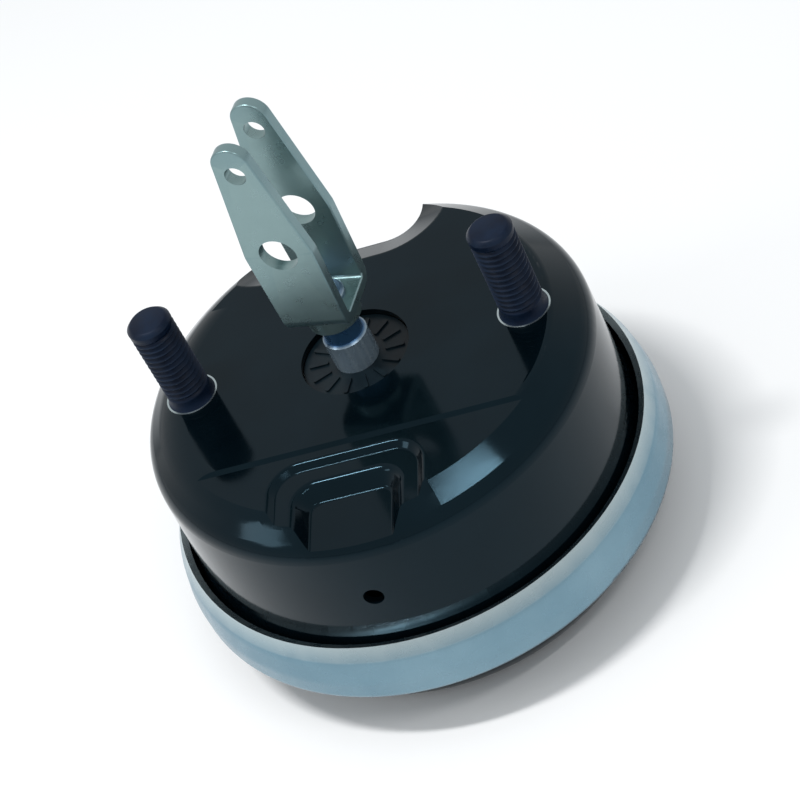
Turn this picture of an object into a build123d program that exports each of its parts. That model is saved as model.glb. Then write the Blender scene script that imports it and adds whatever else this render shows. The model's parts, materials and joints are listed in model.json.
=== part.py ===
from build123d import *
import os
from math import atan, cos, degrees, hypot, radians, sin, tan

# Air brake chamber, in millimetres. +Z runs out along the push rod and the two mounting
# studs lie along X. The origin is the middle of the flat mounting pad.

# ---------------------------------------------------------------- driving dimensions
sheet = 3.0                     # pressed steel of both housings

# mounting studs, 5/8 in
stud_spacing = 120.65
stud_diameter = 15.88
stud_projection = 37.5
stud_neck_diameter = 17.4       # pressed through the sheet and the plate behind it
stud_tip_chamfer = 1.6
stud_head_diameter = 22.0
stud_head_height = 5.0
stud_head_chamfer = 1.2
stud_collar_width = 0.65        # bright ring set flush in the pad round each stud
stud_collar_depth = 1.2

# front housing: pad, crown, shoulder, wall and flange
pad_half_width = 40.0
pad_step = 1.2
pad_edge_slope_angle = 50.0
crown_inset = 13.1              # from the wall to the crown's edge
crown_edge_radius = 18.0
firm_edge_radius = 3.4          # the crown's edge is coined firmly between the pockets on +X
firm_half_angle = 69.0
shoulder_inset = 1.2
shoulder_depth = 9.5
shoulder_edge_radius = 9.0
wall_radius = 82.5
wall_depth = 48.0
flare_edge_radius = 14.0
flange_foot_width = 2.5
flange_width = 6.3
flange_rise = 0.5
flange_edge_radius = 1.5
flange_depth = 62.8

# front pocket: a shallow dish with a deeper pocket in it, both open to the wall
dish_left = -28.0
dish_right = 21.5
dish_edge = 47.0
dish_depth = 3.2
dish_corner = 9.0
dish_slope_angle = 50.0
dish_floor_radius = 1.0
dish_rim_radius = 2.0
pocket_left = -17.6
pocket_right = 11.0
pocket_edge = 57.6
pocket_depth = 8.5
pocket_corner = 4.0
pocket_slope_angle = 40.0
pocket_floor_radius = 1.5
pocket_rim_radius = 3.0

# rear scallop, pressed deep into the crown's far side
scallop_left = -46.0
scallop_right = 21.0
scallop_edge = 62.5
scallop_depth = 34.0
scallop_corner = 13.0
scallop_slope_angle = 3.0
scallop_floor_radius = 3.0
ramp_edge = 61.0
ramp_depth = 7.8
ramp_slope_angle = 64.0
ramp_floor_radius = 2.0
ramp_rim_radius = 2.0

drain_diameter = 7.0
drain_depth = 32.0
drain_angles = (-93.0, 40.0)

# push rod passage
bore_diameter = 39.2
seal_recess = 2.4
seal_clearance = 0.2
seal_rib_count = 14
seal_rib_length = 7.0
seal_rib_width = 1.6
seal_rib_height = 0.7
running_clearance = 0.05

# reinforcing plate inside the crown
plate_thickness = 3.0
plate_half_length = 69.0
plate_half_width = 28.0
plate_corner = 12.0
plate_end_inset = 6.4           # of the trimmed ends' top from the crown's edge
plate_end_spread = 9.0          # of the trimmed ends over the plate's thickness

# guide bush and its pressed retainer
bush_flange_diameter = 48.0
bush_flange_height = 3.0
bush_sleeve_diameter = 24.0
bush_sleeve_length = 5.0
retainer_sheet = 1.5
retainer_lip_width = 5.0
retainer_clearance = 0.4

# clamp ring
ring_sheet = 2.4
ring_side_clearance = 0.7
ring_clearance = 0.4
ring_lip_inset = 4.6
ring_lip_rise = 12.2            # above the flange
ring_brow_inset = 1.6
ring_brow_rise = 5.8
ring_barrel_drop = 2.2          # below the flange's top
ring_edge_radius = 12.0
ring_base_inset = 6.3
ring_base_edge_radius = 3.5

# rear housing and diaphragm
bead_thickness = 3.0
rear_wall_inset = 0.5
rear_cup_depth = 25.8           # below the rear flange
rear_corner_share = 0.7         # of the cup's depth
rear_flange_edge_radius = 2.0
diaphragm_thickness = 3.0
diaphragm_flat_radius = 62.0
diaphragm_edge_radius = 9.0
seat_clearance = 0.3

# air ports in the rear housing's end face
port_spacing = 76.0
port_thread_diameter = 14.5
port_boss_diameter = 26.0
port_boss_height = 8.0
port_mouth_chamfer = 1.2
plug_height = 6.5
plug_socket = 8.0
plug_socket_depth = 4.0
thread_clearance = 0.05

# push plate, rod and collar
push_plate_radius = 56.0
push_plate_sheet = 4.0
push_plate_rim_height = 6.0
push_plate_edge_radius = 5.0
locator_diameter = 38.0
locator_height = 7.0
locator_sheet = 2.5
rod_diameter = 15.88
rod_shoulder_height = 10.3
rod_shoulder_chamfer = 0.9
neck_diameter = 13.4
rivet_head_diameter = 14.2
rivet_head_height = 2.0
collar_diameter = 19.0
collar_height = 5.0

# clevis
clevis_turn = -15.0             # turned about the rod axis
clevis_base_height = 23.2
clevis_sheet = 4.2
clevis_gap = 16.8
clevis_bend_radius = 1.2
clevis_base_half_width = 11.4
clevis_shoulder_half_width = 12.3
clevis_shoulder_radius = 8.0
clevis_shoulder_height = 35.5
clevis_tip_radius = 6.5
clevis_tip_height = 75.2
clevis_edge_radius = 0.6
pin_hole_height = 36.1
pin_hole_diameter = 13.0
tip_hole_height = 71.1
tip_hole_diameter = 7.2

# return spring and its seat
spring_wire = 4.6
spring_top_radius = 40.0
spring_base_radius = 25.0
spring_turns = 4.5
spring_seat_width = 10.0
spring_seat_height = 2.0

# ---------------------------------------------------------------- derived places
flange_radius = wall_radius + flange_width
ring_radius = flange_radius + ring_side_clearance + ring_sheet
rear_wall_radius = wall_radius - rear_wall_inset
stud_radius = stud_diameter / 2
rod_radius = rod_diameter / 2
bore_radius = bore_diameter / 2
plate_bottom = -sheet - plate_thickness
plate_end_radius = wall_radius - crown_inset - plate_end_inset
bead_top = -flange_depth - sheet
bead_bottom = bead_top - bead_thickness
rear_flange_bottom = bead_bottom - sheet
ring_base_depth = rear_flange_bottom - ring_clearance - ring_sheet
body_depth = rear_cup_depth - rear_flange_bottom
rear_corner_radius = rear_corner_share * rear_cup_depth
port_boss_top = -body_depth + port_boss_height
diaphragm_bottom = port_boss_top + seat_clearance
diaphragm_top = diaphragm_bottom + diaphragm_thickness
push_plate_bottom = diaphragm_top + seat_clearance
push_plate_top = push_plate_bottom + push_plate_sheet
collar_base = clevis_base_height - collar_height
seat_top = plate_bottom - seat_clearance
seat_bottom = seat_top - spring_seat_height
beyond = 2 * ring_radius        # a length that clears the whole body
touch = 0.01                    # two places closer than this count as one
stud_places = ((stud_spacing / 2, 0), (-stud_spacing / 2, 0))
stud_neck_radius = stud_neck_diameter / 2
stud_hole_radius = stud_neck_radius + running_clearance

os.makedirs("parts", exist_ok=True)


def finish(piece, label):
    """Name a finished piece and write its STEP file."""
    piece.part.label = label
    export_step(piece.part, f"parts/{label}.step")


def pressed(points, radii, thickness, side, start=0.0, arc=360.0):
    """A pressed round sheet: a filleted section line, given thickness and revolved about Z."""
    with BuildPart() as pressing:
        with BuildSketch(Plane.XZ.rotated((0, 0, start))):
            with BuildLine():
                skin = FilletPolyline(*points, radius=radii)
                offset(skin, amount=thickness, side=side, closed=True)
            make_face()
        revolve(axis=Axis.Z, revolution_arc=arc)
    return pressing


def turned(points, radii):
    """The solid form inside a filleted section line, revolved about Z."""
    with BuildPart() as form:
        with BuildSketch(Plane.XZ):
            with BuildLine():
                skin = FilletPolyline(*points, radius=radii)
                Polyline(skin @ 1, (0, points[-1][1]), skin @ 0)
            make_face()
        revolve(axis=Axis.Z)
    return form


def pocket(left, right, edge, depth, corner, slope_angle, floor_radius, toward, growth=0.0):
    """The air space of a pocket that opens upward and outward; growth adds a wall round it."""
    spread = growth * (1 - sin(radians(slope_angle))) / cos(radians(slope_angle))
    near = edge - spread
    middle_y = toward * (near + beyond) / 2
    with BuildPart() as space:
        with BuildSketch(Plane.XY.offset(-depth - growth)):
            with Locations(((left + right) / 2, middle_y)):
                RectangleRounded(right - left + 2 * spread, beyond - near, corner + spread)
        extrude(amount=depth + growth, taper=-slope_angle)
        fillet(space.edges().group_by(Axis.Z)[0], floor_radius + growth)
    return space


def mouth_rim(piece, recess, level):
    """The edges of a recess's mouth on a level plane, inside the crown's edge."""
    left, right, edge, depth, _, slope_angle, _, toward = recess
    spread = (depth + level) * tan(radians(slope_angle))
    on_level = piece.edges().filter_by_position(Axis.Z, level - touch, level + touch)
    across = on_level.filter_by_position(Axis.X, left - spread - touch, right + spread + touch)
    return across.filter_by(
        lambda line: toward * line.center().Y > edge - spread - touch
        and hypot(line.center().X, line.center().Y) < wall_radius - crown_inset
    )


# ---------------------------------------------------------------- front housing
crown_section = (
    (0, 0),
    (wall_radius - crown_inset, 0),
    (wall_radius - shoulder_inset, -shoulder_depth),
    (wall_radius, -wall_depth),
    (wall_radius + flange_foot_width, flange_rise - flange_depth),
    (flange_radius, -flange_depth),
)
soft_radii = (crown_edge_radius, shoulder_edge_radius, flare_edge_radius, flange_edge_radius)
firm_radii = (firm_edge_radius, *soft_radii[1:])
dish = (dish_left, dish_right, dish_edge, dish_depth, dish_corner, dish_slope_angle, dish_floor_radius, -1)
well = (
    pocket_left,
    pocket_right,
    pocket_edge,
    pocket_depth,
    pocket_corner,
    pocket_slope_angle,
    pocket_floor_radius,
    -1,
)
ramp = (
    scallop_left,
    scallop_right,
    ramp_edge,
    ramp_depth,
    scallop_corner,
    ramp_slope_angle,
    ramp_floor_radius,
    1,
)
scallop = (
    scallop_left,
    scallop_right,
    scallop_edge,
    scallop_depth,
    scallop_corner,
    scallop_slope_angle,
    scallop_floor_radius,
    1,
)
crown_form = turned(crown_section, soft_radii)
firm_arc = 2 * firm_half_angle

with BuildPart() as front_housing:
    add(pressed(crown_section, soft_radii, sheet, Side.RIGHT, firm_half_angle, 360 - firm_arc))
    add(pressed(crown_section, firm_radii, sheet, Side.RIGHT, -firm_half_angle, firm_arc))
    for recess in (dish, well, ramp, scallop):
        with BuildPart(mode=Mode.PRIVATE) as tub:
            add(crown_form)
            add(pocket(*recess, growth=sheet), mode=Mode.INTERSECT)
        add(tub)
    for recess in (dish, well, ramp, scallop):
        add(pocket(*recess), mode=Mode.SUBTRACT)
    with BuildSketch(Plane.XY.offset(-pad_step)):
        with Locations((0, beyond), (0, -beyond)):
            Rectangle(2 * beyond, 2 * (beyond - pad_half_width) - 2 * pad_step)
    extrude(amount=pad_step, taper=-pad_edge_slope_angle, mode=Mode.SUBTRACT)
    fillet(mouth_rim(front_housing, dish, -pad_step), dish_rim_radius)
    fillet(mouth_rim(front_housing, well, -dish_depth), pocket_rim_radius)
    fillet(mouth_rim(front_housing, ramp, -pad_step), ramp_rim_radius)
    Hole(bore_radius)
    with Locations(*stud_places):
        CounterBoreHole(stud_hole_radius, stud_hole_radius + stud_collar_width, stud_collar_depth)
    for angle in drain_angles:
        drain_plane = Plane((0, 0, -drain_depth), x_dir=(0, 0, 1),
                            z_dir=(cos(radians(angle)), sin(radians(angle)), 0))
        with BuildSketch(drain_plane):
            Circle(drain_diameter / 2)
        extrude(amount=beyond, mode=Mode.SUBTRACT)
finish(front_housing, "front_housing")

# ---------------------------------------------------------------- inside the front housing
with BuildPart() as stud_plate:
    with BuildSketch(Plane.XY.offset(plate_bottom)):
        RectangleRounded(2 * plate_half_length, 2 * plate_half_width, plate_corner)
    extrude(amount=plate_thickness)
    with Locations((0, 0, plate_bottom)):
        Cone(
            plate_end_radius + plate_end_spread,
            plate_end_radius,
            plate_thickness,
            align=(Align.CENTER, Align.CENTER, Align.MIN),
            mode=Mode.INTERSECT,
        )
    Hole(bore_radius)
    with Locations(*stud_places):
        Hole(stud_hole_radius)
finish(stud_plate, "stud_plate")

with BuildPart() as mounting_studs:
    with Locations((*stud_places[0], plate_bottom), (*stud_places[1], plate_bottom)):
        Cylinder(
            stud_head_diameter / 2,
            stud_head_height,
            align=(Align.CENTER, Align.CENTER, Align.MAX),
        )
        Cylinder(
            stud_neck_radius,
            -plate_bottom,
            align=(Align.CENTER, Align.CENTER, Align.MIN),
        )
    with Locations(*stud_places):
        Cylinder(
            stud_radius,
            stud_projection,
            align=(Align.CENTER, Align.CENTER, Align.MIN),
        )
    chamfer(mounting_studs.edges().group_by(Axis.Z)[-1], stud_tip_chamfer)
    chamfer(mounting_studs.edges().group_by(Axis.Z)[0], stud_head_chamfer)
finish(mounting_studs, "mounting_studs")

with BuildPart() as stud_collars:
    with BuildSketch(Plane.XY.offset(-stud_collar_depth)):
        with Locations(*stud_places):
            Circle(stud_hole_radius + stud_collar_width)
            Circle(stud_hole_radius, mode=Mode.SUBTRACT)
    extrude(amount=stud_collar_depth)
finish(stud_collars, "stud_collars")

with BuildPart() as seal_disc:
    with BuildSketch(Plane.XY.offset(plate_bottom)):
        Circle(bore_radius - seal_clearance)
        Circle(rod_radius + running_clearance, mode=Mode.SUBTRACT)
    extrude(amount=-seal_recess - plate_bottom)
    with BuildSketch(Plane.XY.offset(-seal_recess)):
        rib_centre = (bore_radius + rod_radius) / 2
        with PolarLocations(rib_centre, seal_rib_count):
            RectangleRounded(seal_rib_length, seal_rib_width, seal_rib_width / 3)
    extrude(amount=seal_rib_height)
finish(seal_disc, "seal_disc")

with BuildPart() as guide_bush:
    with BuildSketch(Plane.XY.offset(plate_bottom)):
        Circle(bush_flange_diameter / 2)
    extrude(amount=-bush_flange_height)
    with BuildSketch(Plane.XY.offset(plate_bottom - bush_flange_height)):
        Circle(bush_sleeve_diameter / 2)
    extrude(amount=-bush_sleeve_length)
    Hole(rod_radius + running_clearance)
finish(guide_bush, "guide_bush")

retainer_inner = bush_sleeve_diameter / 2 + retainer_clearance
retainer_outer = bush_flange_diameter / 2 + retainer_clearance
retainer_depth = plate_bottom - bush_flange_height
retainer_section = (
    (retainer_inner, retainer_depth),
    (retainer_outer, retainer_depth),
    (retainer_outer, plate_bottom),
    (retainer_outer + retainer_sheet + retainer_lip_width, plate_bottom),
)
with BuildPart() as guide_retainer:
    with BuildSketch(Plane.XZ):
        with BuildLine():
            retainer_skin = Polyline(*retainer_section)
            offset(retainer_skin, amount=retainer_sheet, side=Side.RIGHT, closed=True)
        make_face()
    revolve(axis=Axis.Z)
finish(guide_retainer, "guide_retainer")

# ---------------------------------------------------------------- clamp ring
ring_section = (
    (ring_radius - ring_lip_inset, ring_lip_rise - flange_depth),
    (ring_radius - ring_brow_inset, ring_brow_rise - flange_depth),
    (ring_radius, -flange_depth - ring_barrel_drop),
    (ring_radius, ring_base_depth),
    (ring_radius - ring_base_inset, ring_base_depth),
)
ring_radii = (ring_edge_radius, ring_edge_radius, ring_base_edge_radius)
clamp_ring = pressed(ring_section, ring_radii, ring_sheet, Side.RIGHT)
finish(clamp_ring, "clamp_ring")

# ---------------------------------------------------------------- rear housing
rear_section = (
    (0, -body_depth),
    (rear_wall_radius, -body_depth),
    (rear_wall_radius, rear_flange_bottom),
    (flange_radius, rear_flange_bottom),
)
rear_radii = (rear_corner_radius, rear_flange_edge_radius)
port_places = ((port_spacing / 2, 0), (-port_spacing / 2, 0))
with BuildPart() as rear_housing:
    add(pressed(rear_section, rear_radii, sheet, Side.LEFT))
    with Locations(*port_places):
        Hole(port_boss_diameter / 2)
finish(rear_housing, "rear_housing")

port_thread_radius = port_thread_diameter / 2
for boss_name, boss_place in (("inlet_boss", port_places[0]), ("spare_boss", port_places[1])):
    with BuildPart(Plane.XY.offset(-body_depth)) as port_boss:
        with Locations(boss_place):
            Cylinder(
                port_boss_diameter / 2,
                port_boss_height,
                align=(Align.CENTER, Align.CENTER, Align.MIN),
            )
            Hole(port_thread_radius)
        mouth_edges = port_boss.edges().filter_by(GeomType.CIRCLE).group_by(Axis.Z)[0]
        chamfer(mouth_edges.group_by(SortBy.RADIUS)[0], port_mouth_chamfer)
    finish(port_boss, boss_name)

with BuildPart(Plane.XY.offset(-body_depth + port_boss_height - plug_height)) as port_plug:
    with Locations(port_places[1]):
        Cylinder(
            port_thread_radius - thread_clearance,
            plug_height,
            align=(Align.CENTER, Align.CENTER, Align.MIN),
        )
    with BuildSketch():
        with Locations(port_places[1]):
            RegularPolygon(plug_socket / 2, 6, major_radius=False)
    extrude(amount=plug_socket_depth, mode=Mode.SUBTRACT)
finish(port_plug, "port_plug")

# ---------------------------------------------------------------- diaphragm
cup_radius = rear_wall_radius - sheet - seat_clearance
diaphragm_section = (
    (0, diaphragm_bottom),
    (diaphragm_flat_radius, diaphragm_bottom),
    (cup_radius, bead_bottom),
    (flange_radius, bead_bottom),
)
diaphragm_radii = (diaphragm_edge_radius, rear_flange_edge_radius)
diaphragm = pressed(diaphragm_section, diaphragm_radii, diaphragm_thickness, Side.LEFT)
finish(diaphragm, "diaphragm")

# ---------------------------------------------------------------- push rod assembly
push_plate_section = (
    (0, push_plate_bottom),
    (push_plate_radius, push_plate_bottom),
    (push_plate_radius, push_plate_top + push_plate_rim_height),
)
push_plate = pressed(push_plate_section, push_plate_edge_radius, push_plate_sheet, Side.LEFT)
finish(push_plate, "push_plate")

with BuildPart(Plane.XY.offset(push_plate_top)) as spring_locator:
    Cylinder(
        locator_diameter / 2,
        locator_height,
        align=(Align.CENTER, Align.CENTER, Align.MIN),
    )
    fillet(spring_locator.edges().group_by(Axis.Z)[-1], locator_sheet)
    with BuildSketch():
        Circle(locator_diameter / 2 - locator_sheet)
        Circle(rod_radius + locator_sheet, mode=Mode.SUBTRACT)
    extrude(amount=locator_height - locator_sheet, mode=Mode.SUBTRACT)
    Hole(rod_radius + running_clearance)
finish(spring_locator, "spring_locator")

clevis_floor = clevis_base_height + clevis_sheet
with BuildPart() as push_rod:
    with BuildSketch(Plane.XY.offset(push_plate_top)):
        Circle(rod_radius)
    extrude(amount=rod_shoulder_height - push_plate_top)
    chamfer(push_rod.edges().group_by(Axis.Z)[-1], rod_shoulder_chamfer)
    with BuildSketch(Plane.XY.offset(rod_shoulder_height)):
        Circle(neck_diameter / 2)
    extrude(amount=clevis_floor - rod_shoulder_height)
    with BuildSketch(Plane.XY.offset(clevis_floor)):
        Circle(rivet_head_diameter / 2)
    extrude(amount=rivet_head_height)
    chamfer(push_rod.edges().group_by(Axis.Z)[-1], rivet_head_height / 2)
finish(push_rod, "push_rod")

with BuildPart() as rod_collar:
    with BuildSketch(Plane.XY.offset(collar_base)):
        Circle(collar_diameter / 2)
        Circle(neck_diameter / 2 + running_clearance, mode=Mode.SUBTRACT)
    extrude(amount=collar_height)
finish(rod_collar, "rod_collar")

# The clevis is a folded strap, drawn in the frame of its own pin axis.
turn = radians(clevis_turn)
pin_direction = (-sin(turn), cos(turn), 0)
out_direction = (sin(turn), -cos(turn), 0)
face_direction = (cos(turn), sin(turn), 0)
strap_plane = Plane((0, 0, clevis_base_height), x_dir=pin_direction, z_dir=face_direction)
ear_plane = Plane((0, 0, clevis_base_height), x_dir=face_direction, z_dir=out_direction)
strap_half_width = clevis_gap / 2 + clevis_sheet
strap_height = clevis_tip_height + clevis_tip_radius
shoulder_offset = clevis_shoulder_half_width - clevis_shoulder_radius
with BuildPart() as clevis:
    with BuildSketch(strap_plane):
        with BuildLine():
            strap = FilletPolyline(
                (-strap_half_width, strap_height),
                (-strap_half_width, 0),
                (strap_half_width, 0),
                (strap_half_width, strap_height),
                radius=clevis_bend_radius + clevis_sheet,
            )
            offset(strap, amount=clevis_sheet, side=Side.LEFT, closed=True)
        make_face()
    extrude(amount=2 * clevis_shoulder_half_width, both=True)
    with BuildSketch(ear_plane):
        with Locations((0, clevis_tip_height)):
            Circle(clevis_tip_radius)
        with Locations((shoulder_offset, clevis_shoulder_height),
                       (-shoulder_offset, clevis_shoulder_height)):
            Circle(clevis_shoulder_radius)
        Rectangle(2 * clevis_base_half_width, clevis_sheet, align=(Align.CENTER, Align.MIN))
        make_hull()
    extrude(amount=2 * strap_half_width, both=True, mode=Mode.INTERSECT)
    with BuildSketch(ear_plane):
        with Locations((0, pin_hole_height)):
            Circle(pin_hole_diameter / 2)
        with Locations((0, tip_hole_height)):
            Circle(tip_hole_diameter / 2)
    extrude(amount=2 * strap_half_width, both=True, mode=Mode.SUBTRACT)
    with BuildSketch(Plane.XY.offset(clevis_base_height)):
        Circle(neck_diameter / 2 + running_clearance)
    extrude(amount=clevis_sheet, mode=Mode.SUBTRACT)
    ear_outlines = clevis.edges().filter_by(
        lambda line: not line.is_closed
        and line.bounding_box().min.Z > clevis_floor + touch
        and line.length > clevis_sheet + touch
    )
    fillet(ear_outlines, clevis_edge_radius)
finish(clevis, "clevis")

# ---------------------------------------------------------------- return spring
with BuildPart() as spring_seat:
    with BuildSketch(Plane.XY.offset(seat_bottom)):
        Circle(spring_top_radius + spring_seat_width / 2)
        Circle(spring_top_radius - spring_seat_width / 2, mode=Mode.SUBTRACT)
    extrude(amount=spring_seat_height)
finish(spring_seat, "spring_seat")

spring_foot = push_plate_top + spring_wire / 2
spring_height = seat_bottom - spring_wire / 2 - spring_foot
spring_flare = degrees(atan((spring_top_radius - spring_base_radius) / spring_height))
with BuildPart() as return_spring:
    with BuildLine(Plane.XY.offset(spring_foot)):
        coil = Helix(
            spring_height / spring_turns,
            spring_height,
            spring_base_radius,
            cone_angle=spring_flare,
        )
    with BuildSketch(Plane(coil @ 0, z_dir=coil % 0)):
        Circle(spring_wire / 2)
    sweep(path=coil)
finish(return_spring, "return_spring")
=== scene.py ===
"""Dresses an air brake chamber: enamelled housings, zinc clamp ring, threaded studs, clevis."""
import json
import logging
import math
from dataclasses import dataclass, field
from enum import Enum

import bmesh
import bpy
from mathutils import Matrix, Vector


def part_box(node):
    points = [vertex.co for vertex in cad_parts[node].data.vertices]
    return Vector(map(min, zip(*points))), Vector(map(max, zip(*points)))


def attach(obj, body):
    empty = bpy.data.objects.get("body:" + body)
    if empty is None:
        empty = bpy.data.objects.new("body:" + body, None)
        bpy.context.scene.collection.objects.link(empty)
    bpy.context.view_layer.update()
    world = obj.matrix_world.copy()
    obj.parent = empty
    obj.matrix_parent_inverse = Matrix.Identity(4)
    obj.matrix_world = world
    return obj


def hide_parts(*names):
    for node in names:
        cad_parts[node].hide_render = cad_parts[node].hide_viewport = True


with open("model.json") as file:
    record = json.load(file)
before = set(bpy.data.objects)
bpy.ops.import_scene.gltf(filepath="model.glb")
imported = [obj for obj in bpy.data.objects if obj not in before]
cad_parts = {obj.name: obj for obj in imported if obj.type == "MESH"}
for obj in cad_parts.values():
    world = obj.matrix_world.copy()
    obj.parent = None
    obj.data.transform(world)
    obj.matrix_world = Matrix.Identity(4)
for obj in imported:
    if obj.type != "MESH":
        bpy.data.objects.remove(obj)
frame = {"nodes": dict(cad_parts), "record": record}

MM = 0.001
TURN = 2 * math.pi
MERGE = 1e-7                    # metres; points nearer than this are one point
LOG = logging.getLogger("brake_chamber")
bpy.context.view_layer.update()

# Places of the colour sockets of a Mix node set to RGBA.
MIX_FACTOR, MIX_LOW, MIX_HIGH, MIX_RESULT = 0, 6, 7, 2

Colour = tuple[float, float, float]


class Body(Enum):
    """The rigid bodies that new pieces ride on."""

    CHAMBER = "chamber"


# ---------------------------------------------------------------- shared shader effects
def new_group(name: str, inputs: dict[str, float], outputs: dict[str, str]) -> bpy.types.NodeTree:
    """Makes an empty shader group with number inputs.

    Args:
        name: The group's name.
        inputs: Each number input and its default.
        outputs: Each output and its socket type.

    Returns:
        The group, with its input and output nodes in it.
    """
    group = bpy.data.node_groups.new(name, "ShaderNodeTree")
    for label, value in inputs.items():
        socket = group.interface.new_socket(label, in_out="INPUT", socket_type="NodeSocketFloat")
        socket.default_value = value
    for label, kind in outputs.items():
        group.interface.new_socket(label, in_out="OUTPUT", socket_type=kind)
    group.nodes.new("NodeGroupInput")
    group.nodes.new("NodeGroupOutput")
    return group


def stretch_to_value(group: bpy.types.NodeTree, factor: bpy.types.NodeSocket) -> None:
    """Stretches a socket from the group's Low and High inputs onto 0 to 1, as its Value output.

    Args:
        group: The group, with Low and High inputs and a Value output.
        factor: The socket to stretch.
    """
    source, result = group.nodes["Group Input"], group.nodes["Group Output"]
    spread = group.nodes.new("ShaderNodeMapRange")
    group.links.new(factor, spread.inputs["Value"])
    group.links.new(source.outputs["Low"], spread.inputs["From Min"])
    group.links.new(source.outputs["High"], spread.inputs["From Max"])
    group.links.new(spread.outputs["Result"], result.inputs["Value"])


def cloud_group() -> bpy.types.NodeTree:
    """Builds the group that gives soft clouds from 0 to 1 over Object coordinates.

    Returns:
        The group, with Scale, Detail, Low and High inputs and a Value output.
    """
    inputs = {"Scale": 60.0, "Detail": 3.0, "Low": 0.35, "High": 0.65}
    group = new_group("soft_clouds", inputs, {"Value": "NodeSocketFloat"})
    nodes, links = group.nodes, group.links
    source = nodes["Group Input"]
    place = nodes.new("ShaderNodeTexCoord")
    noise = nodes.new("ShaderNodeTexNoise")
    links.new(place.outputs["Object"], noise.inputs["Vector"])
    links.new(source.outputs["Scale"], noise.inputs["Scale"])
    links.new(source.outputs["Detail"], noise.inputs["Detail"])
    stretch_to_value(group, noise.outputs["Fac"])
    return group


def ripple_group() -> bpy.types.NodeTree:
    """Builds the group that bumps a surface with fine noise, as sprayed paint or rolled steel has.

    Returns:
        The group, with Scale, Stretch and Height inputs and a Normal output.
    """
    inputs = {"Scale": 400.0, "Stretch": 1.0, "Height": 0.00002}
    group = new_group("fine_ripple", inputs, {"Normal": "NodeSocketVector"})
    nodes, links = group.nodes, group.links
    source, result = nodes["Group Input"], nodes["Group Output"]
    place = nodes.new("ShaderNodeTexCoord")
    stretch = nodes.new("ShaderNodeCombineXYZ")
    scaled = nodes.new("ShaderNodeVectorMath")
    scaled.operation = "MULTIPLY"
    noise = nodes.new("ShaderNodeTexNoise")
    noise.inputs["Detail"].default_value = 2.0
    bump = nodes.new("ShaderNodeBump")
    stretch.inputs["X"].default_value = 1.0
    stretch.inputs["Y"].default_value = 1.0
    links.new(source.outputs["Stretch"], stretch.inputs["Z"])
    links.new(place.outputs["Object"], scaled.inputs[0])
    links.new(stretch.outputs["Vector"], scaled.inputs[1])
    links.new(scaled.outputs["Vector"], noise.inputs["Vector"])
    links.new(source.outputs["Scale"], noise.inputs["Scale"])
    links.new(noise.outputs["Fac"], bump.inputs["Height"])
    links.new(source.outputs["Height"], bump.inputs["Distance"])
    links.new(bump.outputs["Normal"], result.inputs["Normal"])
    return group


def wear_and_highlight_group() -> bpy.types.NodeTree:
    """Builds the group that finds convex edges, where the plating is painted lighter as a painted
    highlight and the oxide shows worn crests.

    Returns:
        The group, with Low and High inputs and a Value output.
    """
    group = new_group("edge_wear_and_highlight", {"Low": 0.52, "High": 0.60}, {"Value": "NodeSocketFloat"})
    shape = group.nodes.new("ShaderNodeNewGeometry")
    stretch_to_value(group, shape.outputs["Pointiness"])
    return group


@dataclass(frozen=True)
class Effects:
    """The shader groups that the finishes share."""

    clouds: bpy.types.NodeTree = field(default_factory=cloud_group)
    ripple: bpy.types.NodeTree = field(default_factory=ripple_group)
    # Convex edges: worn crests on the oxide, a painted highlight on the plating.
    wear_and_highlight: bpy.types.NodeTree = field(default_factory=wear_and_highlight_group)


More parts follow.
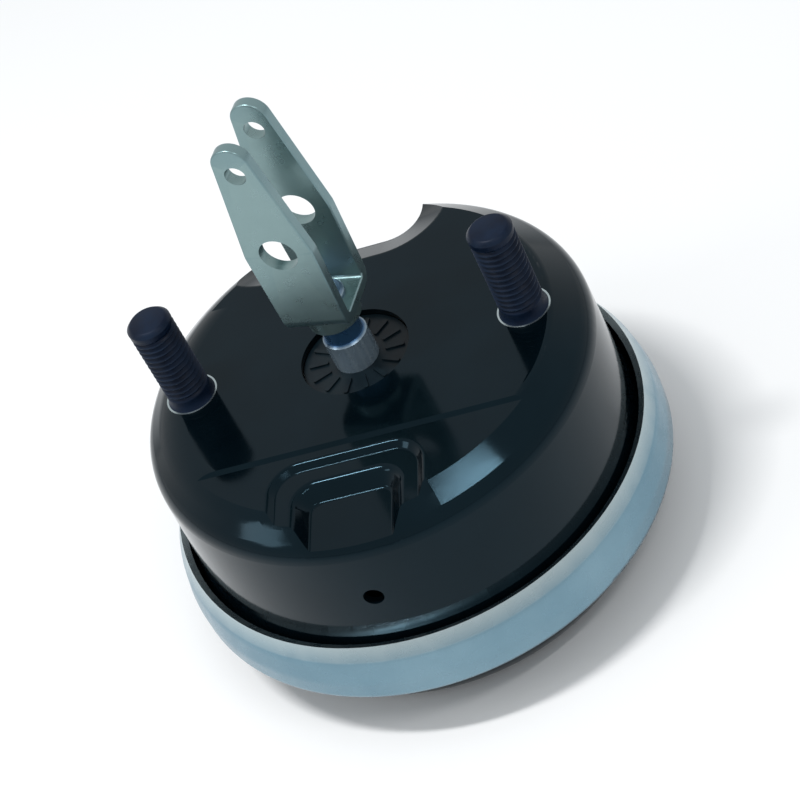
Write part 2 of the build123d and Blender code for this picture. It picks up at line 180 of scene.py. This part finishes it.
class Canvas:
    """A new material with its Principled shader, and short ways to add nodes to it."""

    def __init__(self, name: str, effects: Effects) -> None:
        """Makes the material.

        Args:
            name: The material's name.
            effects: The shared shader groups.
        """
        self.effects = effects
        self.material = bpy.data.materials.new(name)
        self.material.use_nodes = True
        self.tree = self.material.node_tree
        self.shader = self.tree.nodes["Principled BSDF"]

    def group(self, tree: bpy.types.NodeTree, **values: float) -> bpy.types.Node:
        """Adds a shared group and sets its number inputs.

        Args:
            tree: The shared group.
            values: Values by input name.

        Returns:
            The new group node.
        """
        node = self.tree.nodes.new("ShaderNodeGroup")
        node.node_tree = tree
        for label, value in values.items():
            node.inputs[label].default_value = value
        return node

    def mixer(self, factor: bpy.types.NodeSocket, high: Colour) -> bpy.types.Node:
        """Adds a colour mix with its factor and its second colour set.

        Args:
            factor: The socket that the mix follows.
            high: The colour where the factor is 1.

        Returns:
            The mix node, whose first colour is still to be set.
        """
        node = self.tree.nodes.new("ShaderNodeMix")
        node.data_type = "RGBA"
        node.inputs[MIX_HIGH].default_value = (*high, 1.0)
        self.tree.links.new(factor, node.inputs[MIX_FACTOR])
        return node

    def mix(self, factor: bpy.types.NodeSocket, low: Colour,
            high: Colour) -> bpy.types.NodeSocket:
        """Mixes two colours.

        Args:
            factor: The socket that the mix follows.
            low: The colour where the factor is 0.
            high: The colour where the factor is 1.

        Returns:
            The colour socket.
        """
        node = self.mixer(factor, high)
        node.inputs[MIX_LOW].default_value = (*low, 1.0)
        return node.outputs[MIX_RESULT]

    def over(self, factor: bpy.types.NodeSocket, under: bpy.types.NodeSocket,
             top: Colour) -> bpy.types.NodeSocket:
        """Lays a colour over a colour socket.

        Args:
            factor: The socket that says how much of the top colour shows.
            under: The colour socket below.
            top: The colour laid over it.

        Returns:
            The colour socket.
        """
        node = self.mixer(factor, top)
        self.tree.links.new(under, node.inputs[MIX_LOW])
        return node.outputs[MIX_RESULT]

    def between(self, factor: bpy.types.NodeSocket, low: float,
                high: float) -> bpy.types.NodeSocket:
        """Maps a factor from 0 to 1 onto a range.

        Args:
            factor: The socket to map.
            low: The number where the factor is 0.
            high: The number where the factor is 1.

        Returns:
            The number socket.
        """
        node = self.tree.nodes.new("ShaderNodeMapRange")
        node.inputs["To Min"].default_value = low
        node.inputs["To Max"].default_value = high
        self.tree.links.new(factor, node.inputs["Value"])
        return node.outputs["Result"]

    def plug(self, socket: bpy.types.NodeSocket, label: str) -> None:
        """Links a socket to the shader's input of that name."""
        self.tree.links.new(socket, self.shader.inputs[label])


@dataclass(frozen=True)
class Enamel:
    """Sprayed gloss enamel, with a faint orange peel."""

    name: str = "gloss_black_enamel"
    dark: Colour = (0.0005, 0.0022, 0.0036)
    light: Colour = (0.0012, 0.0040, 0.0062)
    gloss_tint: Colour = (0.40, 0.76, 1.0)
    gloss: float = 0.22
    smooth: float = 0.09
    dull: float = 0.12
    peel: float = 0.004 * MM
    peel_scale: float = 420.0
    cloud_scale: float = 35.0
    cloud_detail: float = 4.0

    def build(self, effects: Effects) -> bpy.types.Material:
        """Makes the enamel's material.

        Args:
            effects: The shared shader groups.

        Returns:
            The material.
        """
        canvas = Canvas(self.name, effects)
        clouds = canvas.group(effects.clouds, Scale=self.cloud_scale,
                              Detail=self.cloud_detail)
        ripple = canvas.group(effects.ripple, Scale=self.peel_scale, Height=self.peel)
        canvas.plug(canvas.mix(clouds.outputs["Value"], self.dark, self.light), "Base Color")
        canvas.plug(canvas.between(clouds.outputs["Value"], self.smooth, self.dull), "Roughness")
        canvas.plug(ripple.outputs["Normal"], "Normal")
        canvas.shader.inputs["Specular Tint"].default_value = (*self.gloss_tint, 1.0)
        canvas.shader.inputs["Specular IOR Level"].default_value = self.gloss
        return canvas.material


@dataclass(frozen=True)
class Plating:
    """Bright zinc plate on steel, clouded and slightly brushed, with a painted highlight on its
    convex edges.
    """

    name: str
    dark: Colour
    light: Colour
    smooth: float = 0.26
    dull: float = 0.44
    cloud_scale: float = 90.0
    brush_stretch: float = 1.0
    brush_height: float = 0.015 * MM
    brush_scale: float = 600.0
    cloud_detail: float = 5.0
    cloud_low: float = 0.3
    cloud_high: float = 0.7
    spots_per_cloud: float = 7.0
    spot_detail: float = 2.0
    # The colour painted on convex edges: a painted highlight where edges would catch light.
    edge_highlight: Colour = (0.78, 0.84, 0.88)
    metal: float = 1.0

    def build(self, effects: Effects) -> bpy.types.Material:
        """Makes the plating's material.

        Args:
            effects: The shared shader groups.

        Returns:
            The material.
        """
        canvas = Canvas(self.name, effects)
        clouds = canvas.group(effects.clouds, Scale=self.cloud_scale, Detail=self.cloud_detail,
                              Low=self.cloud_low, High=self.cloud_high)
        spots = canvas.group(effects.clouds, Scale=self.cloud_scale * self.spots_per_cloud,
                             Detail=self.spot_detail)
        brush = canvas.group(effects.ripple, Scale=self.brush_scale, Stretch=self.brush_stretch,
                             Height=self.brush_height)
        wear_and_highlight = canvas.group(effects.wear_and_highlight)
        tone = canvas.mix(clouds.outputs["Value"], self.dark, self.light)
        # Convex edges take the edge colour: a painted highlight.
        canvas.plug(canvas.over(wear_and_highlight.outputs["Value"], tone, self.edge_highlight), "Base Color")
        canvas.plug(canvas.between(spots.outputs["Value"], self.smooth, self.dull), "Roughness")
        canvas.plug(brush.outputs["Normal"], "Normal")
        canvas.shader.inputs["Metallic"].default_value = self.metal
        return canvas.material


@dataclass(frozen=True)
class Oxide:
    """Blue-black oxide on threaded steel, dull with brighter worn crests."""

    name: str = "blue_black_oxide"
    dark: Colour = (0.0015, 0.0060, 0.0180)
    light: Colour = (0.0040, 0.0120, 0.0310)
    crest: Colour = (0.030, 0.052, 0.085)
    metal: float = 0.12
    gloss: float = 0.14
    smooth: float = 0.36
    dull: float = 0.52
    cloud_scale: float = 160.0
    cloud_detail: float = 4.0
    grain: float = 0.01 * MM
    grain_scale: float = 1500.0
    wear_low: float = 0.53
    wear_high: float = 0.68

    def build(self, effects: Effects) -> bpy.types.Material:
        """Makes the oxide's material.

        Args:
            effects: The shared shader groups.

        Returns:
            The material.
        """
        canvas = Canvas(self.name, effects)
        clouds = canvas.group(effects.clouds, Scale=self.cloud_scale, Detail=self.cloud_detail)
        grain = canvas.group(effects.ripple, Scale=self.grain_scale, Height=self.grain)
        wear_and_highlight = canvas.group(effects.wear_and_highlight, Low=self.wear_low, High=self.wear_high)
        tone = canvas.mix(clouds.outputs["Value"], self.dark, self.light)
        canvas.plug(canvas.over(wear_and_highlight.outputs["Value"], tone, self.crest), "Base Color")
        canvas.plug(canvas.between(clouds.outputs["Value"], self.smooth, self.dull), "Roughness")
        canvas.plug(grain.outputs["Normal"], "Normal")
        canvas.shader.inputs["Metallic"].default_value = self.metal
        canvas.shader.inputs["Specular IOR Level"].default_value = self.gloss
        return canvas.material


@dataclass(frozen=True)
class Moulded:
    """Moulded plastic or rubber, with a fine grain."""

    name: str
    dark: Colour
    light: Colour
    smooth: float
    dull: float
    grain: float = 0.02 * MM
    grain_scale: float = 900.0
    cloud_scale: float = 120.0
    cloud_detail: float = 3.0
    gloss: float = 0.16

    def build(self, effects: Effects) -> bpy.types.Material:
        """Makes the moulding's material.

        Args:
            effects: The shared shader groups.

        Returns:
            The material.
        """
        canvas = Canvas(self.name, effects)
        clouds = canvas.group(effects.clouds, Scale=self.cloud_scale, Detail=self.cloud_detail)
        grain = canvas.group(effects.ripple, Scale=self.grain_scale, Height=self.grain)
        canvas.plug(canvas.mix(clouds.outputs["Value"], self.dark, self.light), "Base Color")
        canvas.plug(canvas.between(clouds.outputs["Value"], self.smooth, self.dull), "Roughness")
        canvas.plug(grain.outputs["Normal"], "Normal")
        canvas.shader.inputs["Specular IOR Level"].default_value = self.gloss
        return canvas.material


@dataclass(frozen=True)
class Finishes:
    """Every finish on the chamber, made once."""

    enamel: bpy.types.Material
    ring_zinc: bpy.types.Material
    clevis_zinc: bpy.types.Material
    rod_zinc: bpy.types.Material
    oxide: bpy.types.Material
    steel: bpy.types.Material
    nylon: bpy.types.Material
    rubber: bpy.types.Material
    phosphate: bpy.types.Material

    @staticmethod
    def make() -> "Finishes":
        """Makes the finishes, with the shader groups that they share.

        Returns:
            The finishes.
        """
        effects = Effects()
        return Finishes(
            enamel=Enamel().build(effects),
            # Each plating's edge colour is a painted highlight on its convex edges.
            ring_zinc=Plating("ring_zinc_plate", (0.150, 0.255, 0.320), (0.205, 0.320, 0.385),
                              smooth=0.24, dull=0.32, cloud_scale=22.0, brush_stretch=14.0,
                              edge_highlight=(0.42, 0.50, 0.52)).build(effects),
            clevis_zinc=Plating("clevis_zinc_plate", (0.155, 0.250, 0.275), (0.225, 0.325, 0.330),
                                smooth=0.27, dull=0.31, cloud_scale=30.0,
                                edge_highlight=(0.225, 0.325, 0.330), metal=0.85).build(effects),
            rod_zinc=Plating("rod_zinc_plate", (0.022, 0.080, 0.170), (0.055, 0.130, 0.240),
                             smooth=0.24, dull=0.28, cloud_scale=60.0, brush_height=0.004 * MM,
                             edge_highlight=(0.40, 0.50, 0.56), metal=0.55).build(effects),
            oxide=Oxide().build(effects),
            steel=Plating("plain_pressed_steel", (0.30, 0.31, 0.32), (0.44, 0.45, 0.46),
                          smooth=0.35, dull=0.55).build(effects),
            nylon=Moulded("black_nylon", (0.003, 0.008, 0.012), (0.006, 0.014, 0.019), 0.30,
                          0.45).build(effects),
            rubber=Moulded("fabric_rubber", (0.014, 0.014, 0.014), (0.028, 0.028, 0.028), 0.6, 0.8,
                           0.06 * MM).build(effects),
            phosphate=Oxide("phosphate_spring_steel", (0.020, 0.020, 0.022), (0.045, 0.045, 0.048),
                            (0.12, 0.12, 0.12), 0.5).build(effects),
        )


# ---------------------------------------------------------------- helpers for pieces
def dress(node: str, material: bpy.types.Material) -> None:
    """Gives a CAD node its finish.

    Args:
        node: The CAD node's name.
        material: The finish.
    """
    piece = frame["nodes"][node]
    piece.data.materials.clear()
    piece.data.materials.append(material)
    LOG.info("dressed %s with %s", node, material.name)


def make_piece(name: str, mesh: bmesh.types.BMesh, material: bpy.types.Material, body: Body,
               smooth_angle: float) -> bpy.types.Object:
    """Turns a finished bmesh into a piece that rides on a body.

    Args:
        name: The piece's name.
        mesh: The bmesh, in metres in the part's frame; it is freed.
        material: The finish.
        body: The body that it rides on.
        smooth_angle: Edges sharper than this many degrees stay crisp.

    Returns:
        The new object.
    """
    bmesh.ops.remove_doubles(mesh, verts=mesh.verts, dist=MERGE)
    bmesh.ops.recalc_face_normals(mesh, faces=mesh.faces)
    data = bpy.data.meshes.new(name)
    mesh.to_mesh(data)
    mesh.free()
    data.materials.append(material)
    data.shade_smooth()
    data.set_sharp_from_angle(angle=math.radians(smooth_angle))
    piece = bpy.data.objects.new(name, data)
    bpy.context.scene.collection.objects.link(piece)
    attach(piece, body.value)
    LOG.info("made %s with %d faces", name, len(data.polygons))
    return piece


# ---------------------------------------------------------------- the sub-assemblies
@dataclass
class Housings:
    """The two pressed housings, their ports, and what is clamped in and between them."""

    finishes: Finishes

    def build(self) -> None:
        """Dresses the housings, their bosses and plug, the ring, the diaphragm and the plate."""
        for node in ("front_housing", "rear_housing", "inlet_boss", "spare_boss"):
            dress(node, self.finishes.enamel)
        dress("clamp_ring", self.finishes.ring_zinc)
        dress("diaphragm", self.finishes.rubber)
        dress("port_plug", self.finishes.rod_zinc)
        dress("stud_plate", self.finishes.steel)


@dataclass
class Guide:
    """What guides and seals the push rod: bush, retainer and outer disc."""

    finishes: Finishes

    def build(self) -> None:
        """Dresses the guide's pieces."""
        dress("seal_disc", self.finishes.nylon)
        dress("guide_bush", self.finishes.nylon)
        dress("guide_retainer", self.finishes.steel)


@dataclass
class ThreadedStuds:
    """The two mounting studs, with their threads, plain shanks and rounded tips."""

    finishes: Finishes
    pitch: float = 25.4 / 11 * MM
    thread_depth: float = 1.15 * MM
    plain_shank: float = 3.8 * MM
    plain_tip: float = 2.8 * MM
    flare_height: float = 3.2 * MM
    flare_width: float = 0.85 * MM
    tip_chamfer: float = 1.5 * MM
    tip_break: float = 0.35 * MM
    last_fall: float = 0.25         # how far the last ring but one lies below the tip, in breaks
    crest_start: float = 0.12
    crest_span: float = 0.76
    steps: int = 64
    rows_per_turn: int = 10
    crisp_angle: float = 50.0
    full_radius: float = field(init=False)
    half_spacing: float = field(init=False)

    def __post_init__(self) -> None:
        """Reads the studs' radius and spacing from the record."""
        pattern = next(m for m in frame["record"]["mounts"] if m["name"] == "mounting_studs")
        self.full_radius = pattern["dims"]["stud_r_mm"] * MM
        self.half_spacing = pattern["dims"]["pcd_mm"] / 2 * MM

    def radius_at(self, height: float, angle: float, top: float) -> float:
        """Gives the stud's radius, which follows its flared foot and its single-start thread.

        Args:
            height: Height above the pad, in metres.
            angle: Angle about the stud's axis, in radians.
            top: Height of the stud's tip.

        Returns:
            The radius there, in metres.
        """
        full = self.full_radius
        start, end = self.plain_shank, top - self.plain_tip
        reach = max(0.0, min(1.0, (height - start) / self.pitch, (end - height) / self.pitch))
        phase = (height / self.pitch - angle / TURN) % 1.0
        crest = abs(2 * phase - 1)
        groove = min(1.0, max(0.0, (crest - self.crest_start) / self.crest_span))
        flare = self.flare_width * max(0.0, 1 - height / self.flare_height) ** 2
        return full + flare - self.thread_depth * reach * (1 - groove)

    def shank(self, centre: Vector, top: float, name: str) -> bpy.types.Object:
        """Builds one threaded stud above the pad.

        Args:
            centre: The stud's centre on the pad.
            top: Height of the stud's tip.
            name: The piece's name.

        Returns:
            The stud's object.
        """
        mesh = bmesh.new()
        rows = round((top - self.tip_chamfer) / self.pitch * self.rows_per_turn)
        rings: list[list[bmesh.types.BMVert]] = []
        for row in range(rows + 1):
            height = (top - self.tip_chamfer) * row / rows
            ring = []
            for step in range(self.steps):
                angle = TURN * step / self.steps
                radius = self.radius_at(height, angle, top)
                offset = Vector((radius * math.cos(angle), radius * math.sin(angle), height))
                ring.append(mesh.verts.new(centre + offset))
            rings.append(ring)
        for radius, height in self.tip_rings(top):
            rings.append([
                mesh.verts.new(centre + Vector((radius * math.cos(TURN * step / self.steps),
                                                radius * math.sin(TURN * step / self.steps),
                                                height)))
                for step in range(self.steps)
            ])
        for lower, upper in zip(rings, rings[1:]):
            for step in range(self.steps):
                after = (step + 1) % self.steps
                mesh.faces.new((lower[step], lower[after], upper[after], upper[step]))
        mesh.faces.new(rings[-1])
        mesh.faces.new(rings[0])
        return make_piece(name, mesh, self.finishes.oxide, Body.CHAMBER,
                          self.crisp_angle)

    def tip_rings(self, top: float) -> list[tuple[float, float]]:
        """Works out the rings of the chamfered tip.

        Args:
            top: Height of the stud's tip.

        Returns:
            The radius and height of each ring, from the lowest up.
        """
        flat = self.full_radius - self.tip_chamfer
        return [
            (flat + self.tip_break, top - self.tip_break),
            (flat, top - self.tip_break * self.last_fall),
            (flat - self.tip_break, top),
        ]

    def build(self) -> None:
        """Builds both studs and dresses their collars."""
        _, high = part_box("mounting_studs")
        for name, side in (("left_stud", -1), ("right_stud", 1)):
            stud = self.shank(Vector((side * self.half_spacing, 0, 0)), high[2], name)
            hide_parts("mounting_studs")
        dress("stud_collars", self.finishes.ring_zinc)


@dataclass
class PushRod:
    """The push rod with its plate, spring and clevis."""

    finishes: Finishes

    def build(self) -> None:
        """Dresses the rod, its fittings, and the spring with its seats."""
        dress("push_rod", self.finishes.rod_zinc)
        for node in ("rod_collar", "clevis"):
            dress(node, self.finishes.clevis_zinc)
        for node in ("push_plate", "spring_locator", "spring_seat"):
            dress(node, self.finishes.steel)
        dress("return_spring", self.finishes.phosphate)


@dataclass(frozen=True)
class Strip:
    """A soft strip lamp: its place, the way it runs, its length and width, and its watts."""

    name: str
    place: Vector
    along: Vector
    size: tuple[float, float]
    power: float


@dataclass
class Studio:
    """The floor, the light and the camera."""

    view_position: tuple[float, float, float] = (0.207371, -0.568249, 0.517032)
    view_azimuth: float = -19.4866
    view_fall: float = 42.0963
    view_roll: float = -27.7147
    lens: float = 105.354
    room_colour: Colour = (0.93, 0.97, 1.0)
    room_light: float = 0.55
    white_light: float = 1.0
    floor_half: float = 4.0
    sensor_width: float = 36.0
    near_clip: float = 0.01
    strips: tuple[Strip, ...] = (
        Strip("rim_strip", Vector((-0.33, -0.16, 1.14)), Vector((1, 0, 0)), (0.34, 0.08), 8.0),
        Strip("shoulder_strip", Vector((0.50, -0.52, 0.97)), Vector((0.39, 0.28, -0.05)),
              (0.50, 0.02), 1.6),
        Strip("fill", Vector((-1.2, -0.5, 0.9)), Vector((0, 1, 0)), (0.5, 0.3), 2.0),
    )

    def floor(self) -> None:
        """Lays a white floor under the rear housing."""
        low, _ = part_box("rear_housing")
        mesh = bmesh.new()
        bmesh.ops.create_grid(mesh, x_segments=1, y_segments=1, size=self.floor_half)
        bmesh.ops.translate(mesh, verts=mesh.verts, vec=(0, 0, low[2]))
        data = bpy.data.meshes.new("floor")
        mesh.to_mesh(data)
        mesh.free()
        slab = bpy.data.objects.new("floor", data)
        bpy.context.scene.collection.objects.link(slab)
        data.materials.append(self.floor_material())

    def floor_material(self) -> bpy.types.Material:
        """Makes the floor's material: white paper that keeps the object's shadow.

        Returns:
            The material.
        """
        paper = bpy.data.materials.new("white_paper")
        paper.use_nodes = True
        shader = paper.node_tree.nodes["Principled BSDF"]
        shader.inputs["Base Color"].default_value = (1.0, 1.0, 1.0, 1.0)
        shader.inputs["Roughness"].default_value = 1.0
        shader.inputs["Specular IOR Level"].default_value = 0.0
        return paper

    def world(self) -> None:
        """Lights the room evenly, and shows white behind the object and in its gloss."""
        room = bpy.data.worlds.new("room")
        bpy.context.scene.world = room
        room.use_nodes = True
        nodes, links = room.node_tree.nodes, room.node_tree.links
        ambient = nodes["Background"]
        ambient.inputs["Color"].default_value = (*self.room_colour, 1.0)
        ambient.inputs["Strength"].default_value = self.room_light
        white = nodes.new("ShaderNodeBackground")
        white.inputs["Strength"].default_value = self.white_light
        path = nodes.new("ShaderNodeLightPath")
        seen = path.outputs["Is Camera Ray"]
        for ray in ("Is Glossy Ray", "Is Transmission Ray"):
            either = nodes.new("ShaderNodeMath")
            either.operation = "MAXIMUM"
            links.new(seen, either.inputs[0])
            links.new(path.outputs[ray], either.inputs[1])
            seen = either.outputs[0]
        blend = nodes.new("ShaderNodeMixShader")
        links.new(seen, blend.inputs[0])
        links.new(ambient.outputs[0], blend.inputs[1])
        links.new(white.outputs[0], blend.inputs[2])
        links.new(blend.outputs[0], nodes["World Output"].inputs[0])

    def hang(self, strip: Strip) -> None:
        """Hangs a soft strip lamp that faces the chamber.

        Args:
            strip: The lamp to hang.
        """
        data = bpy.data.lights.new(strip.name, "AREA")
        data.shape = "RECTANGLE"
        data.size, data.size_y = strip.size
        data.energy = strip.power
        lamp = bpy.data.objects.new(strip.name, data)
        back = strip.place.normalized()
        across = back.cross(strip.along).normalized()
        turn = Matrix((across.cross(back), across, back)).transposed()
        lamp.matrix_world = Matrix.Translation(strip.place) @ turn.to_4x4()
        bpy.context.scene.collection.objects.link(lamp)

    def camera(self) -> None:
        """Sets up the camera from its place, heading, fall and roll."""
        data = bpy.data.cameras.new("view")
        data.lens = self.lens
        data.sensor_width = self.sensor_width
        data.clip_start = self.near_clip
        eye = bpy.data.objects.new("view", data)
        heading = Matrix.Rotation(math.radians(-self.view_azimuth), 4, "Z")
        tilt = Matrix.Rotation(math.radians(90 - self.view_fall), 4, "X")
        roll = Matrix.Rotation(math.radians(self.view_roll), 4, "Z")
        eye.matrix_world = Matrix.Translation(self.view_position) @ heading @ tilt @ roll
        bpy.context.scene.collection.objects.link(eye)
        bpy.context.scene.camera = eye

    def build(self) -> None:
        """Builds the whole studio."""
        self.floor()
        self.world()
        for strip in self.strips:
            self.hang(strip)
        self.camera()
        bpy.context.scene.view_settings.view_transform = "Standard"


def main() -> None:
    """Builds every sub-assembly in order."""
    logging.basicConfig(level=logging.INFO, format="%(name)s: %(message)s")
    finishes = Finishes.make()
    for assembly in (Housings, Guide, ThreadedStuds, PushRod):
        assembly(finishes).build()
    Studio().build()


if __name__ == "__main__":
    main()
